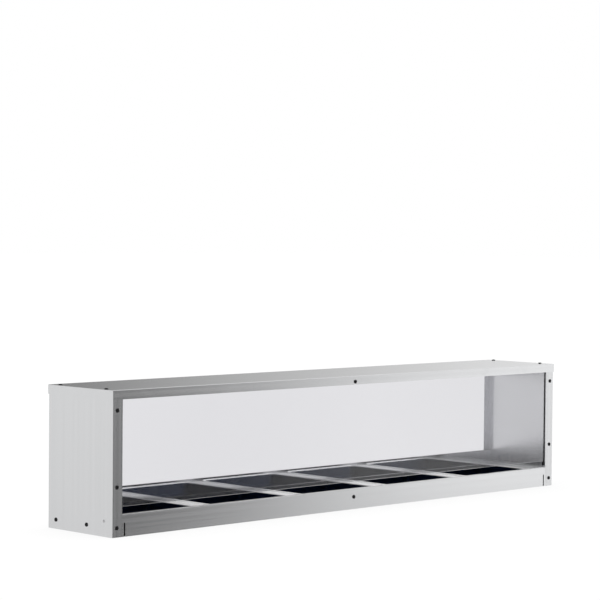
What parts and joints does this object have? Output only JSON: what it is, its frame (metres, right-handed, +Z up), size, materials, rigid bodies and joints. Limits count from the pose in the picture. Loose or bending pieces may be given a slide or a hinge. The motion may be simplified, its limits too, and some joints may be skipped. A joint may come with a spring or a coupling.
{
  "type": "hot food display case",
  "caption": "Long stainless countertop hot food case: heated wells with lift-out pans behind a front glass, overhead heat strip, open serving side with controls",
  "frame": {"origin": "middle of the underside: centre of the length and of the casing's depth, on the surface the case stands on", "axes": "+X to the right along the length as a guest sees it, -Y towards the guests (glass side), +Y towards the serving side, +Z up"},
  "size_m": [1.8306, 0.2993, 0.3928],
  "materials": {
    "stainless_brushed": "fine straight grain",
    "stainless_polished": "mirror polished",
    "stainless_mill": "dull mill finish",
    "aluminium_housing": "satin",
    "black_enamel": "gloss vitreous enamel",
    "heating_sheath": "heat-darkened matte",
    "clear_glass": "clear, faint lilac-grey tint",
    "black_rubber": "matte",
    "black_oxide": "black oxide screws",
    "mineral_board": "chalky board",
    "white_ceramic": "glazed",
    "black_plastic": "fine texture",
    "white_plastic": "satin",
    "red_plastic": "gloss",
    "amber_plastic": "gloss translucent",
    "cable_sleeve": "woven sleeve",
    "brass_pins": "plain"
  },
  "bodies": {
    "case": {"base_pan": "stainless_mill", "centre_screws": "black_oxide", "control_bodies": "black_plastic", "control_box": "stainless_brushed", "deck_brackets": "stainless_mill", "element_clips": "stainless_mill", "end_rivets": "stainless_mill", "end_screws": "black_oxide", "front_glass": "clear_glass", "front_rail": "stainless_brushed", "glass_channel_left": "stainless_brushed", "glass_channel_right": "stainless_brushed", "glass_seals": "black_rubber", "glass_stops": "black_rubber", "hanger_screws": "black_oxide", "indicator_lamps": "amber_plastic", "inlet_pins": "brass_pins", "left_end_panel": "stainless_brushed", "left_post_screws": "black_oxide", "power_inlet": "black_plastic", "rear_header": "stainless_brushed", "rear_rail": "stainless_brushed", "rear_screws": "black_oxide", "rear_splash": "stainless_polished", "right_end_panel": "stainless_brushed", "right_post_screws": "black_oxide", "strip_element": "heating_sheath", "strip_end_caps": "aluminium_housing", "strip_guard": "stainless_polished", "strip_hangers": "stainless_mill", "strip_housing": "aluminium_housing", "strip_insulators": "white_ceramic", "strip_reflector": "stainless_polished", "switch_housing": "black_plastic", "terminal_block": "white_plastic", "top_cover": "stainless_brushed", "top_liner": "stainless_mill", "top_screws": "black_oxide", "well_deck": "stainless_brushed", "well_element_1": "heating_sheath", "well_element_2": "heating_sheath", "well_element_3": "heating_sheath", "well_element_4": "heating_sheath", "well_element_5": "heating_sheath", "well_insulation": "mineral_board", "wire_raceway": "stainless_brushed", "wiring_loom": "cable_sleeve"},
    "pan_1": {"food_pan_1": "black_enamel"},
    "pan_2": {"food_pan_2": "black_enamel"},
    "pan_3": {"food_pan_3": "black_enamel"},
    "pan_4": {"food_pan_4": "black_enamel"},
    "pan_5": {"food_pan_5": "black_enamel"},
    "wells_control": {"control_knob_wells": "black_plastic", "control_shaft_wells": "stainless_mill"},
    "strip_control": {"control_knob_strip": "black_plastic", "control_shaft_strip": "stainless_mill"},
    "rocker": {"power_rocker": "red_plastic"}
  },
  "joints": [
    {"name": "pan_1_lift", "type": "slide", "parent": "case", "child": "pan_1", "axis": [0, 0, 1], "range_m": [0, 0.2]},
    {"name": "pan_2_lift", "type": "slide", "parent": "case", "child": "pan_2", "axis": [0, 0, 1], "range_m": [0, 0.2]},
    {"name": "pan_3_lift", "type": "slide", "parent": "case", "child": "pan_3", "axis": [0, 0, 1], "range_m": [0, 0.2]},
    {"name": "pan_4_lift", "type": "slide", "parent": "case", "child": "pan_4", "axis": [0, 0, 1], "range_m": [0, 0.2]},
    {"name": "pan_5_lift", "type": "slide", "parent": "case", "child": "pan_5", "axis": [0, 0, 1], "range_m": [0, 0.2]},
    {"name": "wells_control_turn", "type": "hinge", "parent": "case", "child": "wells_control", "pos_m": [-0.7702, 0.1455, 0.3322], "axis": [0, 1, 0], "range_deg": [-290, 0]},
    {"name": "strip_control_turn", "type": "hinge", "parent": "case", "child": "strip_control", "pos_m": [-0.7182, 0.1455, 0.3322], "axis": [0, 1, 0], "range_deg": [-290, 0]},
    {"name": "rocker_tip", "type": "hinge", "parent": "case", "child": "rocker", "pos_m": [-0.8062, 0.1345, 0.3322], "axis": [1, 0, 0], "range_deg": [-20, 0]}
  ]
}
